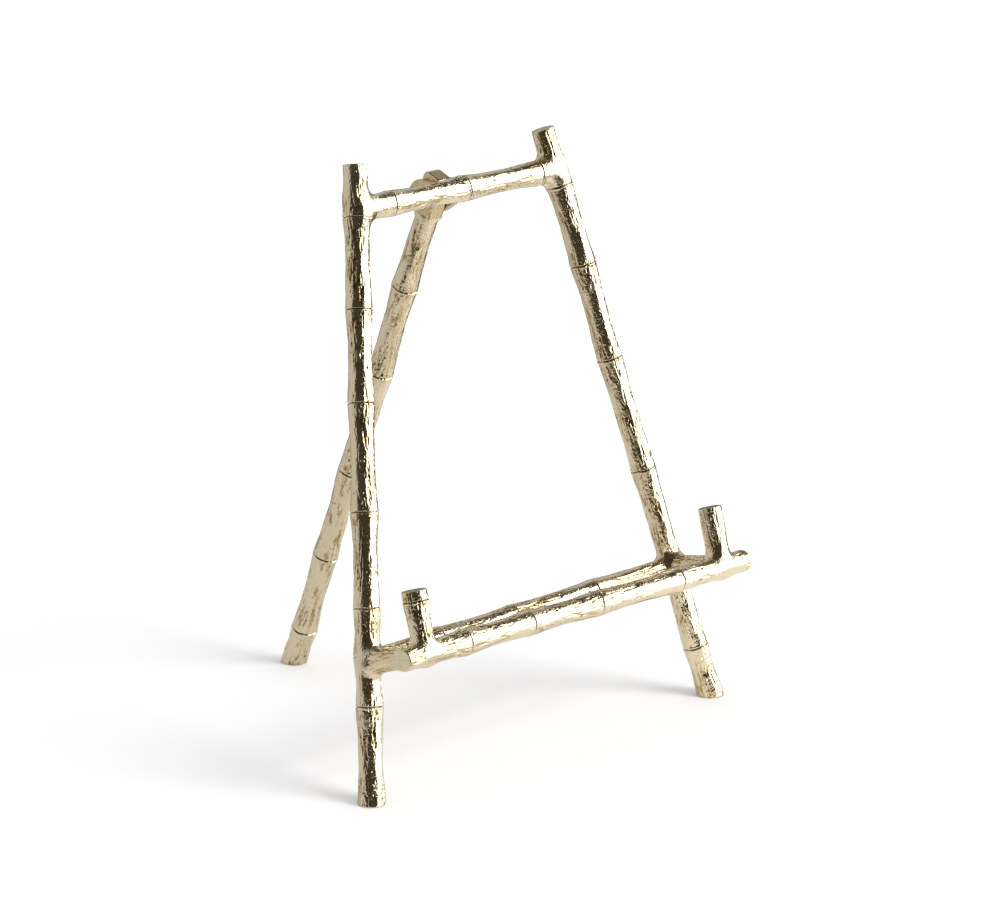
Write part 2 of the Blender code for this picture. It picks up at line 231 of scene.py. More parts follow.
def noise(points, seed=0.0):
    """Smooth gradient noise, about -0.7 to 0.7, one feature for each unit of `points`."""
    points = points + seed * SEED_SHIFT
    cell = np.floor(points).astype(np.int64)
    inside = points - cell
    ease = inside ** 3 * (inside * (inside * 6 - 15) + 10)
    total = np.zeros(len(points))
    for corner in range(8):
        step = np.array([corner & 1, corner >> 1 & 1, corner >> 2 & 1])
        x, y, z = ((cell + step) & 255).T
        slope = GRADIENTS[SHUFFLE[SHUFFLE[SHUFFLE[x] + y] + z]]
        weight = np.where(step, ease, 1 - ease).prod(1)
        total += weight * ((inside - step) * slope).sum(1)
    return total


def smooth_step(low, high, value):
    """0 at `low` and 1 at `high`, easing between them."""
    share = np.clip((value - low) / (high - low), 0, 1)
    return share * share * (3 - 2 * share)


# ---------------------------------------------------------------- distance fields

def smooth_min(a, b, reach):
    """Union of two distances with a fillet of about radius `reach`."""
    near = np.maximum(reach - np.abs(a - b), 0) / reach
    return np.minimum(a, b) - near * near * reach / 4


def smooth_max(a, b, reach):
    """Overlap of two distances, with its edge rounded by about `reach`."""
    return -smooth_min(-a, -b, reach)


def unit(vector):
    return np.asarray(vector, float) / np.linalg.norm(vector)


def node_points(node):
    """The different corner points of a CAD node."""
    mesh = frame["nodes"][node].data
    points = np.zeros(len(mesh.vertices) * 3, np.float32)
    mesh.vertices.foreach_get("co", points)
    return np.unique(np.round(points.reshape(-1, 3).astype(float), 6), axis=0)


def centre_line(node, towards):
    """Both ends of a straight CAD stick's axis, in the direction `towards`."""
    points = node_points(node)
    middle, kept = points.mean(0), points
    for share in (1.0, 0.7, 0.7):     # the ends' cuts are left out once the axis is known
        spreads = np.linalg.svd(kept - kept.mean(0), full_matrices=False)[2]
        axis = max(spreads, key=lambda spread: abs(spread @ np.asarray(towards, float)))
        along = (points - middle) @ axis
        centre, half = (along.max() + along.min()) / 2, (along.max() - along.min()) / 2
        kept = points[np.abs(along - centre) < share * half]
    middle = kept.mean(0)
    axis = axis * math.copysign(1, axis @ np.asarray(towards, float))
    along = (points - middle) @ axis
    return middle + axis * along.min(), middle + axis * along.max()


def nearest_on(line, other):
    """Point of `line` nearest to the other line; a line is a pair of its ends."""
    p, d = line[0], unit(line[1] - line[0])
    q, e = other[0], unit(other[1] - other[0])
    gap, slant = q - p, d @ e
    return p + d * ((gap @ d - slant * (gap @ e)) / (1 - slant * slant))


class Stick:
    """Round bamboo stick on a straight axis that sways a little from node to node.

    It has a swelling and a groove at each of its rings, and the flat ends `low` and `high`. `foot`
    spreads its low end and `slant` leans that end's cut, `relief` is a share of the legs' lumps
    and dents, and `calm` is how far a joint keeps the surface smooth.
    """

    def __init__(self, start, end, radius, rings=(), seed=0, sway=SWAY, foot=0.0, relief=1.0,
                 calm=CALM, slant=(0, 0, 0)):
        self.start, self.length = np.asarray(start, float), np.linalg.norm(end - start)
        self.axis = unit(end - start)
        reference = (1, 0, 0) if abs(self.axis[0]) < 0.7 else (0, 1, 0)
        side = unit(np.cross(reference, self.axis))
        self.basis = np.stack([np.cross(side, self.axis), side, self.axis])
        self.radius, self.rings, self.seed = radius, rings, seed
        self.low, self.high = 0.0, self.length
        self.relief, self.calm, self.slant = relief, calm, np.array(slant, float)
        self.table = np.arange(-TABLE_MARGIN, self.length + TABLE_MARGIN, TABLE_STEP)
        random = np.random.RandomState(FIRST_SEED + seed)
        stops = np.array(sorted({0.0, self.length, *rings}))
        shift = random.uniform(-sway, sway, (2, len(stops)))
        shift[:, [0, -1]] *= END_SWAY
        index = np.clip(np.searchsorted(stops, self.table) - 1, 0, len(stops) - 2)
        share = smooth_step(stops[index], stops[index + 1], self.table)
        self.sway = shift[:, index] * (1 - share) + shift[:, index + 1] * share
        swell = np.zeros_like(self.table)
        for ring, size in zip(rings, random.uniform(*SWELL_SIZES, len(rings))):
            away = np.abs(self.table - ring) / SWELL_REACH
            swell = np.maximum(swell, size * SWELL * np.exp(-away ** SWELL_SHAPE))
        spread = foot * smooth_step(FOOT_LENGTH, 0.0, self.table)
        self.radii = radius - WAIST * bool(rings) + np.maximum(swell, spread)

    def local(self, points):
        """Coordinates across, across and along the stick, from the swaying axis."""
        u, v, t = ((points - self.start) @ self.basis.T).T
        return (u - np.interp(t, self.table, self.sway[0]),
                v - np.interp(t, self.table, self.sway[1]), t)

    def world(self, u, v, t):
        """World points of such coordinates."""
        local = np.stack([u + np.interp(t, self.table, self.sway[0]),
                          v + np.interp(t, self.table, self.sway[1]), t], -1)
        return self.start + local @ self.basis

    def distance(self, points):
        """Distance to the stick's surface, negative inside."""
        u, v, t = self.local(points)
        side = np.sqrt(u * u + v * v) - np.interp(t, self.table, self.radii)
        cut = self.low + (points - self.start) @ self.slant
        return smooth_max(side, np.maximum(cut - t, t - self.high), RIM_BLEND)


class Lug:
    """Cheek of the hinge: a rounded plate from the pin to the crossbar."""

    def __init__(self, node, pin, root, root_radius):
        low, high = (np.array(corner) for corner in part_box(node))
        self.middle, self.half = (low[0] + high[0]) / 2, (high[0] - low[0]) / 2
        self.pin, self.root = pin[1:], root[1:]
        self.radius = high[1] - pin[1]
        self.root_radius = root_radius

    def distance(self, points):
        flat = points[:, 1:] - self.pin
        along = self.root - self.pin
        share = np.clip(flat @ along / (along @ along), 0, 1)
        radius = self.radius + (self.root_radius - self.radius) * share
        plate = np.linalg.norm(flat - share[:, None] * along, axis=1) - radius
        thick = np.abs(points[:, 0] - self.middle) - self.half
        return smooth_max(plate, thick, LUG_ROUNDING)


# ---------------------------------------------------------------- the easel's sticks

MOUNTS = {mount["name"]: np.array(mount["pos_m"], float) for mount in frame["record"]["mounts"]}
PIN = np.array(frame["joints"][0]["pos_m"], float)
UP, RIGHT = (0, 0, 1), (1, 0, 0)


def leg_line(node, foot):
    """A front leg's axis, from the floor up."""
    low, high = centre_line(node, UP)
    axis = unit(high - low)
    return low + axis * ((MOUNTS[foot][2] - low[2]) / axis[2]), high


def stick_lines():
    """Axes of the front frame's sticks; those that end in a joint start on their neighbour's."""
    left, right = leg_line("left_front_leg", "left_foot"), leg_line("right_front_leg", "right_foot")
    lines = {"left_front_leg": left, "right_front_leg": right,
             "ledge_rail": centre_line("ledge_rail", RIGHT)}
    for bar in ("top_crossbar", "lower_crossbar"):
        axis = centre_line(bar, RIGHT)
        lines[bar] = nearest_on(axis, left), nearest_on(axis, right)
    for side, joint in zip(("left", "right"), lines["lower_crossbar"]):
        peg = centre_line(side + "_ledge_peg", UP)
        foot = nearest_on(lines["ledge_rail"], peg)
        lines[side + "_ledge_peg"] = foot, peg[1]
        lines[side + "_ledge_arm"] = joint, foot
    return lines


LINES = stick_lines()


# A ring is a distance from the stick's lower or left end, in metres.
SHAPES = {
    "left_front_leg": dict(radius=5.9 * MM, seed=1, foot=FOOT_SPREAD,
                           rings=(0.044, 0.067, 0.089, 0.133, 0.183, 0.226, 0.268)),
    "right_front_leg": dict(radius=5.9 * MM, seed=2, foot=FOOT_SPREAD,
                            rings=(0.026, 0.119, 0.176, 0.224, 0.264)),
    "top_crossbar": dict(radius=5.7 * MM, seed=3, relief=BAR_RELIEF,
                         rings=(0.020, 0.067, 0.1145)),
    "lower_crossbar": dict(radius=5.6 * MM, seed=4, relief=BAR_RELIEF,
                           rings=(0.044, 0.0915, 0.145)),
    "ledge_rail": dict(radius=5.7 * MM, seed=5, relief=BAR_RELIEF, slant=RAIL_END_SLANT,
                       rings=(0.0385, 0.079, 0.1235, 0.1775)),
    "left_ledge_arm": dict(radius=5.6 * MM, seed=6, sway=0.0, calm=ARM_CALM),
    "right_ledge_arm": dict(radius=5.6 * MM, seed=7, sway=0.0, calm=ARM_CALM),
    "left_ledge_peg": dict(radius=5.5 * MM, seed=8, sway=PEG_SWAY, rings=(0.0245,)),
    "right_ledge_peg": dict(radius=5.7 * MM, seed=9, sway=0.0),
}
STICKS = {node: Stick(*LINES[node], **shape) for node, shape in SHAPES.items()}
BACK_LEG = Stick(MOUNTS["back_foot"], PIN, radius=5.9 * MM, seed=10, foot=FOOT_SPREAD,
                 rings=(0.0215, 0.0665, 0.1175, 0.1755, 0.2245))
BACK_LEG.high = BACK_LEG.length - SHOULDER_DROP
FEET = ("left_front_leg", "right_front_leg")
for leg in (*(STICKS[name] for name in FEET), BACK_LEG):
    leg.low = -FOOT_DEPTH


def crossbar_at_hinge():
    """Point of the top crossbar's axis at the hinge's X."""
    bar = STICKS["top_crossbar"]
    return bar.start + bar.axis * ((PIN[0] - bar.start[0]) / bar.axis[0])


CROSSBAR_AT_HINGE = crossbar_at_hinge()
LUGS = {name: Lug(name, PIN, CROSSBAR_AT_HINGE, LUG_ROOT)
        for name in ("left_hinge_lug", "right_hinge_lug")}
TONGUE_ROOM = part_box("right_hinge_lug")[0].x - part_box("left_hinge_lug")[1].x
TONGUE_HALF = TONGUE_ROOM / 2 - TONGUE_PLAY
PARTS = {**STICKS, **LUGS}


def bore(points):
    """Distance inside the hinge pin's bore."""
    return BORE_RADIUS - np.linalg.norm(points[:, 1:] - PIN[1:], axis=1)


def floor_cut(distance, points):
    """Distance to what is left of a shape above the floor."""
    return smooth_max(distance, -points[:, 2], FOOT_RIM)


def back_leg_field(points):
    """Rear leg with its shoulders and its flat tongue."""
    round_part = BACK_LEG.distance(points)
    offset = points - PIN
    along = offset @ BACK_LEG.axis
    across = offset @ np.cross(BACK_LEG.axis, (1, 0, 0))
    low, high = -SHOULDER_DROP - SHOULDER_LAP, TONGUE_RISE
    box = np.stack([np.abs(across) - BACK_LEG.radius,
                    np.abs(along - (low + high) / 2) - (high - low) / 2], 1) + TONGUE_CORNER
    outline = np.linalg.norm(np.maximum(box, 0), axis=1) + np.minimum(box.max(1), 0)
    thick = np.abs(offset[:, 0]) - TONGUE_HALF
    flat = smooth_max(outline - TONGUE_CORNER, thick, SHOULDER_BLEND)
    return floor_cut(smooth_min(round_part, flat, SHOULDER_BLEND), points)


def frame_field(points, own, near):
    """Distance to the piece `own` of the front frame, how far its neighbours are beyond it, and
    how deep the fillet is.
    """
    distances = {name: part.distance(points) for name, part in PARTS.items()
                 if name in near or name == own}
    whole = None
    for name, distance in distances.items():
        reach = NARROW_BLENDS.get(name, JOINT_BLEND)
        whole = distance if whole is None else smooth_min(whole, distance, reach)
    if "top_crossbar" in distances or own in LUGS:
        whole = np.maximum(whole, BEARING_GAP - back_leg_field(points))
    whole = floor_cut(whole, points)
    others = [distance for name, distance in distances.items() if name != own]
    room = np.min(others, axis=0) - distances[own] if others else np.full(len(points), ALONE)
    past = np.maximum(-room, 0)
    piece = whole + SINK * past * past / (past + SINK_EASE)
    hollow = np.minimum(distances[own], distances[own] + room) - whole
    return np.maximum(piece, distances[own] - FLARE), room, hollow


# ---------------------------------------------------------------- meshing

def rows_along(low, high, fine_spots):
    """Places from low to high, STEP apart but closer round the fine spots."""
    places = [low]
    while places[-1] < high - 0.5 * RING_STEP:
        gap = min((abs(places[-1] - spot) for spot in fine_spots), default=RING_EASE)
        share = float(smooth_step(RING_REACH, RING_EASE, gap))
        places.append(min(places[-1] + RING_STEP + (STEP - RING_STEP) * share, high))
    return np.array(places)


def solve(field, starts, rays):
    """Distance along each ray, inwards, to the zero level of the field."""
    reach = np.full(len(rays), RAY_REACH)
    for _ in range(RAY_ROUNDS):
        reach -= RAY_PACE * field(starts + reach[:, None] * rays)
        np.maximum(reach, NEAREST_RAY, out=reach)
    return reach


def grid_normals(points, axis):
    """Outward normals of a closed tube of points (rows, sides, 3); its end rows are poles."""
    around = np.roll(points, -1, 1) - np.roll(points, 1, 1)
    along = np.gradient(points, axis=0)
    normals = np.cross(around, along)
    normals[0], normals[-1] = -axis, axis
    return normals / np.maximum(np.linalg.norm(normals, axis=-1, keepdims=True), 1e-12)


def cast_stick(name, stick, field, low_turn, high_turn, fine_spots=()):
    """Closed mesh of one stick, from rays out of its axis, with the casting's relief on it."""
    rows = rows_along(low_turn, stick.length - high_turn, (*stick.rings, *fine_spots))
    fan = np.linspace(0, math.pi / 2, FAN_ROWS + 1)[1:]
    t = np.concatenate([np.full(FAN_ROWS, rows[0]), rows, np.full(FAN_ROWS, rows[-1])])
    lean = np.concatenate([-fan[::-1], np.zeros(len(rows)), fan])[:, None]
    turn = np.linspace(0, 2 * math.pi, SIDES, endpoint=False)[None]
    rays = np.stack(np.broadcast_arrays(np.cos(lean) * np.cos(turn), np.cos(lean) * np.sin(turn),
                                        np.sin(lean)), -1) @ stick.basis
    starts = stick.world(np.zeros_like(t), np.zeros_like(t), t)

    points, room, hollow = np.empty_like(rays), np.empty(rays.shape[:2]), np.empty(rays.shape[:2])
    for first in range(0, len(t), CHUNK_ROWS):
        part = slice(first, first + CHUNK_ROWS)
        near = {other for other, solid in PARTS.items()
                if solid.distance(starts[part]).min() < RAY_REACH + JOINT_BLEND}
        origin = np.repeat(starts[part], SIDES, 0)
        ray = rays[part].reshape(-1, 3)
        found = origin + solve(lambda p: field(p, near)[0], origin, ray)[:, None] * ray
        points[part] = found.reshape(-1, SIDES, 3)
        room[part], hollow[part] = (value.reshape(-1, SIDES) for value in field(found, near)[1:])

    normals = grid_normals(points, stick.axis)
    height, relief = relief_height(stick, points.reshape(-1, 3), normals.reshape(-1, 3),
                                   room.ravel())
    # painted shade: darkens the plating's colour deep in the joints' fillets
    relief -= JOINT_PAINTED_SHADE * smooth_step(*HOLLOW_EDGE, hollow.ravel())
    above_floor = smooth_step(0.0, FLOOR_FADE, points[..., 2].ravel())
    points += normals * (height * above_floor).reshape(-1, SIDES, 1)
    bark = np.stack(stick.local(points.reshape(-1, 3)), -1).reshape(points.shape)
    return tube_mesh(name, points, relief.reshape(-1, SIDES), bark)


def tube_mesh(name, points, relief, bark):
    """Closed mesh of rows of points whose first and last rows are poles."""
    rows = len(points) - 2
    corners, relief, bark = (np.concatenate([grid[:1, 0], *grid[1:-1], grid[-1:, 0]])
                             for grid in (points, relief, bark))
    row, side = np.meshgrid(np.arange(rows - 1), np.arange(SIDES), indexing="ij")
    after = (side + 1) % SIDES
    quads = 1 + np.stack([row * SIDES + side, row * SIDES + after, (row + 1) * SIDES + after,
                          (row + 1) * SIDES + side], -1).reshape(-1, 4)
    side, after = side[0], after[0]
    bottom = np.stack([np.zeros_like(side), 1 + after, 1 + side], 1)
    top_row = 1 + (rows - 1) * SIDES
    top_fan = np.stack([np.full_like(side, len(corners) - 1), top_row + side, top_row + after], 1)
    return add_mesh(name, corners, [quads, bottom, top_fan], relief, bark)


def add_mesh(name, corners, faces, relief, bark):
    """Smooth-shaded object of corner points and arrays of faces.

    The finish reads how raised each point is, plus painted shade, and where it is on its stick.
    """
    mesh = bpy.data.meshes.new(name)
    sizes = np.concatenate([np.full(len(block), block.shape[1]) for block in faces])
    mesh.vertices.add(len(corners))
    mesh.vertices.foreach_set("co", corners.astype(np.float32).ravel())
    mesh.loops.add(int(sizes.sum()))
    mesh.loops.foreach_set("vertex_index",
                           np.concatenate([block.ravel() for block in faces]).astype(np.int32))
    mesh.polygons.add(len(sizes))
    mesh.polygons.foreach_set("loop_start", (np.cumsum(sizes) - sizes).astype(np.int32))
    mesh.update(calc_edges=True)
    mesh.shade_smooth()
    attribute = mesh.attributes.new("relief", "FLOAT", "POINT")
    attribute.data.foreach_set("value", relief.astype(np.float32))
    attribute = mesh.attributes.new("bark", "FLOAT_VECTOR", "POINT")
    attribute.data.foreach_set("vector", bark.astype(np.float32).ravel())
    piece = bpy.data.objects.new(name, mesh)
    bpy.context.scene.collection.objects.link(piece)
    return piece


def relief_height(stick, points, normals, room):
    """Height of the casting's surface detail on a stick, and its share for the finish."""
    u, v, t = stick.local(points)
    reach = np.maximum(np.hypot(u, v), 1e-6)
    around = np.stack([u, v], 1) / reach[:, None] * stick.radius

    def layer(height, width, length, seed):
        places = np.column_stack([around / width, t / length])
        return height * noise(places, stick.seed + seed)

    cap = smooth_step(*CAP_EDGE, np.abs(normals @ stick.axis))
    bark = smooth_step(JOINT_EDGE, stick.calm, room) * (1 - CAP_CALM * cap)
    patch = smooth_step(*PATCH_EDGE, layer(*ROUGH_PATCHES))
    lumps, dents = layer(*LUMPS), layer(*DENTS)
    wrinkles = -WRINKLE_DEPTH * np.exp(-(layer(*CREASES) / WRINKLE_WIDTH) ** 2) * patch
    knobs = layer(*KNOBS) * (KNOBS_OUTSIDE + (1 - KNOBS_OUTSIDE) * patch)
    pits = -PIT_DEPTH * smooth_step(*PIT_EDGE, layer(*GRAIN)) * (
        PITS_OUTSIDE + (1 - PITS_OUTSIDE) * patch)

    wander = layer(*RING_WANDER) + layer(*RING_JITTER)
    depths = (RING_DEPTH + layer(*RING_CHANGE), 1, 1)
    rings = np.zeros(len(points))
    for ring in stick.rings:
        s = (t - ring - wander) / MM
        for depth, (place, width, height) in zip(depths, RING_PROFILE):
            rings += depth * height * np.exp(-((s - place) / width) ** 2) * MM
    rings *= smooth_step(0.0, RING_CLEAR, room)

    height = bark * (stick.relief * (lumps + dents + knobs) + wrinkles + pits) + rings
    crevice = bark * (wrinkles + pits) + rings
    return height, np.clip(crevice / CREVICE_DEPTH, -1, 1)


def make_frame_stick(node):
    """Mesh of one of the front frame's sticks."""
    low_turn = FOOT_TURN if node in FEET else END_TURN
    return cast_stick(node + "_cast", STICKS[node],
                      lambda points, near: frame_field(points, node, near), low_turn, END_TURN)


def make_back_leg():
    """Rear leg; its tongue counts as half hollow, so that it gets painted shade like the lugs."""
    shoulder = BACK_LEG.length - SHOULDER_DROP

    def field(points, near):
        along = (points - BACK_LEG.start) @ BACK_LEG.axis
        return back_leg_field(points), shoulder - along, TONGUE_PAINTED_SHADE_DEPTH * (along > shoulder)

    return cast_stick("back_leg_cast", BACK_LEG, field, FOOT_TURN, END_TURN - TONGUE_RISE,
                      (shoulder,))


# ---------------------------------------------------------------- hinge

def make_lug(name):
    """A lug's mesh: the zero level of its field, cut out of a grid that leans with the lug."""
    lug = LUGS[name]
    forward = unit((CROSSBAR_AT_HINGE - PIN) * (0, 1, 1))
    basis = np.stack([np.array((1.0, 0, 0)), forward, np.cross((1, 0, 0), forward)])
    origin = np.array([lug.middle, PIN[1], PIN[2]])
    span = np.linalg.norm(lug.root - lug.pin)
    margin = FLARE + LUG_MARGIN
    lines = (np.arange(-lug.half - margin, lug.half + margin, LUG_STEP),
             np.arange(-lug.radius - margin, span + lug.root_radius + margin, LUG_STEP),
             np.arange(-lug.radius - margin, lug.radius + margin, LUG_STEP))
    near = {"top_crossbar", *LUGS}

    def field(points):
        return np.maximum(frame_field(points, name, near)[0], bore(points))

    local = np.stack(np.meshgrid(*lines, indexing="ij"), -1)
    values = field(origin + local.reshape(-1, 3) @ basis).reshape(local.shape[:3])
    corners, quads = net(values, lines)
    corners = origin + corners @ basis
    for _ in range(LUG_ROUNDS):
        slope = gradient(field, corners)
        steep = np.maximum((slope ** 2).sum(1), LUG_LEAST_SLOPE)
        corners -= (field(corners) / steep)[:, None] * slope
    normals = gradient(field, corners)
    normals /= np.maximum(np.linalg.norm(normals, axis=1), 1e-9)[:, None]
    height = lug_relief(lug, corners, frame_field(corners, name, near)[1])
    # painted shade: the whole lug's plating colour is darkened
    return add_mesh(name + "_cast", corners + normals * height[:, None], [quads],
                    height / LUG_CREVICE - HINGE_PAINTED_SHADE, corners)


def lug_relief(lug, corners, room):
    """Height of a lug's surface detail: none at the joint, by the bore or on the inner face."""
    across = corners[:, 0] - lug.middle
    on_face = smooth_step(*LUG_FACE_EDGE, np.abs(across) / lug.half)
    outer = 1 - on_face * (across * (lug.middle - PIN[0]) <= 0)
    return (LUG_RELIEF * noise(corners / LUG_RELIEF_SIZE) * smooth_step(0, LUG_CALM, room) * outer
            * smooth_step(*BORE_RIM, -bore(corners)))


def net(values, lines):
    """Surface net: corner points and quads of the grid's zero level."""
    inside = values < 0
    cells = np.array(values.shape) - 1
    total = np.zeros((cells.prod(), 3))
    count = np.zeros(cells.prod())
    loops = []
    for axis in range(3):
        low = tuple(slice(0, -1) if d == axis else slice(None) for d in range(3))
        high = tuple(slice(1, None) if d == axis else slice(None) for d in range(3))
        at = np.argwhere(inside[low] != inside[high])
        second = at.copy()
        second[:, axis] += 1
        a, b = values[tuple(at.T)], values[tuple(second.T)]
        place = np.stack([lines[d][at[:, d]] for d in range(3)], 1)
        place[:, axis] += a / (a - b) * (lines[axis][second[:, axis]] - place[:, axis])
        e, f = (axis + 1) % 3, (axis + 2) % 3
        ring = []
        for step_e, step_f in ((-1, -1), (0, -1), (0, 0), (-1, 0)):
            cell = at.copy()
            cell[:, e] += step_e
            cell[:, f] += step_f
            flat = np.ravel_multi_index(tuple(cell.T), tuple(cells))
            np.add.at(total, flat, place)
            np.add.at(count, flat, 1)
            ring.append(flat)
        quad = np.stack(ring, 1)
        flipped = ~inside[tuple(at.T)]
        quad[flipped] = quad[flipped][:, ::-1]
        loops.append(quad)
    used = np.flatnonzero(count)
    index = np.full(cells.prod(), -1)
    index[used] = np.arange(len(used))
    return total[used] / count[used][:, None], index[np.concatenate(loops)]


def gradient(field, points, reach=0.1 * MM):
    """Slope of a field at each point, by differences over `reach` on each side."""
    steps = []
    for axis in range(3):
        offset = np.zeros(3)
        offset[axis] = reach
        steps.append((field(points + offset) - field(points - offset)) / (2 * reach))
    return np.stack(steps, 1)


def pin_profile(half, seat, head_radius):
    """Points (distance from the rivet's middle, radius) of one half of the rivet."""
    shaft, flat = BORE_RADIUS - PIN_PLAY, PIN_HEAD_FLAT * head_radius
    profile = [(0.0, shaft), (seat - PIN_SHAFT_ROW, shaft), (seat, shaft),
               (seat, head_radius * PIN_HEAD_ROW), (seat, head_radius)]
    for step in range(1, PIN_HEAD_STEPS + 1):
        angle = step / PIN_HEAD_STEPS * math.pi / 2
        profile.append((seat + (half - seat) * math.sin(angle),
                        flat + (head_radius - flat) * math.cos(angle)))
    return profile + [(half, 0.5 * flat)]


def make_pin():
    """Rivet with domed, slightly flattened heads."""
    low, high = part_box("hinge_pin")
    half, head_radius = (high.x - low.x) / 2, (high.y - low.y) / 2
    lugs_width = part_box("right_hinge_lug")[1].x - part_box("left_hinge_lug")[0].x
    profile = pin_profile(half, lugs_width / 2 + PIN_HEAD_SEAT, head_radius)
    whole = [(-x, r) for x, r in reversed(profile[1:])] + profile
    turn = np.linspace(0, 2 * math.pi, PIN_SIDES, endpoint=False)
    centre = np.array([(low.x + high.x) / 2, PIN[1], PIN[2]])
    points = centre + np.array([[x, r * math.cos(a), r * math.sin(a)]
                                for x, r in whole for a in turn])
    rings = [[row * PIN_SIDES + side for side in range(PIN_SIDES)] for row in range(len(whole))]
    faces = [(first[side - 1], first[side], second[side], second[side - 1])
             for first, second in zip(rings, rings[1:]) for side in range(PIN_SIDES)]
    mesh = bpy.data.meshes.new("hinge_pin_cast")
    mesh.from_pydata(points.tolist(), [], faces + [rings[0], rings[-1]])
    bm = bmesh.new()
    bm.from_mesh(mesh)
    bmesh.ops.recalc_face_normals(bm, faces=bm.faces)
    bm.to_mesh(mesh)
    bm.free()
    mesh.shade_smooth()
    mesh.set_sharp_from_angle(angle=PIN_SHARP_ANGLE)
    piece = bpy.data.objects.new("hinge_pin_cast", mesh)
    bpy.context.scene.collection.objects.link(piece)
    return piece


# ---------------------------------------------------------------- materials

class Nodes:
    """Small helper that adds and links shader nodes."""

    def __init__(self, tree):
        self.tree = tree

    def add(self, kind, settings=None, **inputs):
        """New node with its settings and its input sockets, by name, set or linked."""
        node = self.tree.nodes.new(kind)
        for key, value in (settings or {}).items():
            setattr(node, key, value)
        for key, value in inputs.items():
            self.set(node, key, value)
        return node

    def set(self, node, socket, value):
        """Link an output to a socket, given by name or number, or give the socket a value."""
        target = node.inputs[socket]
        if isinstance(value, bpy.types.NodeSocket):
            self.tree.links.new(value, target)
        else:
            target.default_value = value

    def noise(self, place, scale, detail, roughness):
        return self.add("ShaderNodeTexNoise", Vector=place, Scale=scale, Detail=detail,
                        Roughness=roughness).outputs["Fac"]

    def math(self, operation, a, b=0.0):
        node = self.tree.nodes.new("ShaderNodeMath")
        node.operation = operation
        self.set(node, 0, a)
        self.set(node, 1, b)
        return node.outputs[0]

    def ramp(self, value, stops):
        """Colour for a value, between stops of a place and a colour."""
        node = self.tree.nodes.new("ShaderNodeValToRGB")
        self.set(node, 0, value)
        elements = node.color_ramp.elements
        while len(elements) < len(stops):
            elements.new(0.5)
        for element, (position, colour) in zip(elements, stops):
            element.position = position
            element.color = (*colour, 1.0)
        return node.outputs[0]

    def greys(self, value, stops):
        """Grey for a value, between stops of a place and a level."""
        return self.ramp(value, [(place, (level,) * 3) for place, level in stops])

    def bump(self, height, strength, depth):
        """Normal of a surface with a height on it."""
        return self.add("ShaderNodeBump", Strength=strength, Distance=depth,
                        Height=height).outputs["Normal"]

    def window(self, value, low, high, soft):
        """1 where value lies between low and high, easing to 0 over `soft` at both edges."""
        rise = self.add("ShaderNodeMapRange", {"interpolation_type": "SMOOTHSTEP"})
        fall = self.add("ShaderNodeMapRange", {"interpolation_type": "SMOOTHSTEP"})
        for node, first, last, start, end in ((rise, low - soft / 2, low + soft / 2, 0.0, 1.0),
                                              (fall, high - soft / 2, high + soft / 2, 1.0, 0.0)):
            self.set(node, 0, value)
            for socket, number in zip((1, 2, 3, 4), (first, last, start, end)):
                self.set(node, socket, number)
        return self.math("MULTIPLY", rise.outputs[0], fall.outputs[0])


def new_material(name):
    """Material, helper for its nodes, and its main shader."""
    material = bpy.data.materials.new(name)
    material.use_nodes = True
    return material, Nodes(material.node_tree), material.node_tree.nodes["Principled BSDF"]


def champagne_plate():
    """Pale gold plating over rough cast metal: brown in the creases, bright on the ridges."""
    material, nodes, shader = new_material("champagne_plate")
    place = nodes.add("ShaderNodeTexCoord").outputs["Object"]
    # the relief attribute holds the creases' depth and also painted shade in the joints' fillets and on the hinge
    relief = nodes.add("ShaderNodeAttribute", {"attribute_name": "relief"}).outputs["Fac"]
    grain, cloud, speck = (nodes.noise(place, *texture) for texture in (STIPPLE, CLOUDS, SPECKS))

    depth = nodes.math("ADD", nodes.math("MULTIPLY", relief, RELIEF_SHARE), PLAIN_PLATE)
    stain = nodes.math("MULTIPLY", nodes.math("SUBTRACT", cloud, 0.5), STAIN)
    nodes.set(shader, "Base Color", nodes.ramp(nodes.math("ADD", depth, stain), PLATE_COLOURS))
    nodes.set(shader, "Metallic", 1.0)
    nodes.set(shader, "Roughness", nodes.greys(cloud, PLATE_ROUGHNESS))

    bark = nodes.add("ShaderNodeAttribute", {"attribute_name": "bark"}).outputs["Vector"]
    along = nodes.add("ShaderNodeVectorMath", {"operation": "MULTIPLY"})
    nodes.set(along, 0, bark)
    nodes.set(along, 1, FIBRE_DENSITY)
    fibres = nodes.noise(along.outputs[0], *FIBRES)
    pitted = nodes.greys(speck, SPECK_LEVELS)
    stipple = nodes.math("MULTIPLY", grain, nodes.greys(cloud, STIPPLE_PATCHES))
    surface = nodes.math("ADD", nodes.math("MULTIPLY", pitted, SPECK_SHARE), stipple)
    surface = nodes.math("ADD", surface, nodes.math("MULTIPLY", fibres, FIBRE_SHARE))
    nodes.set(shader, "Normal", nodes.bump(surface, *PLATE_BUMP))
    return material


def pin_plate():
    """The rivet's smoother plating, with a little wear from the hammer."""
    material, nodes, shader = new_material("pin_plate")
    place = nodes.add("ShaderNodeTexCoord").outputs["Object"]
    dents = nodes.noise(place, *PIN_DENTS)
    nodes.set(shader, "Base Color", nodes.ramp(dents, PIN_COLOURS))
    nodes.set(shader, "Metallic", 1.0)
    nodes.set(shader, "Roughness", nodes.greys(dents, PIN_ROUGHNESS))
    nodes.set(shader, "Normal", nodes.bump(dents, *PIN_BUMP))
    return material


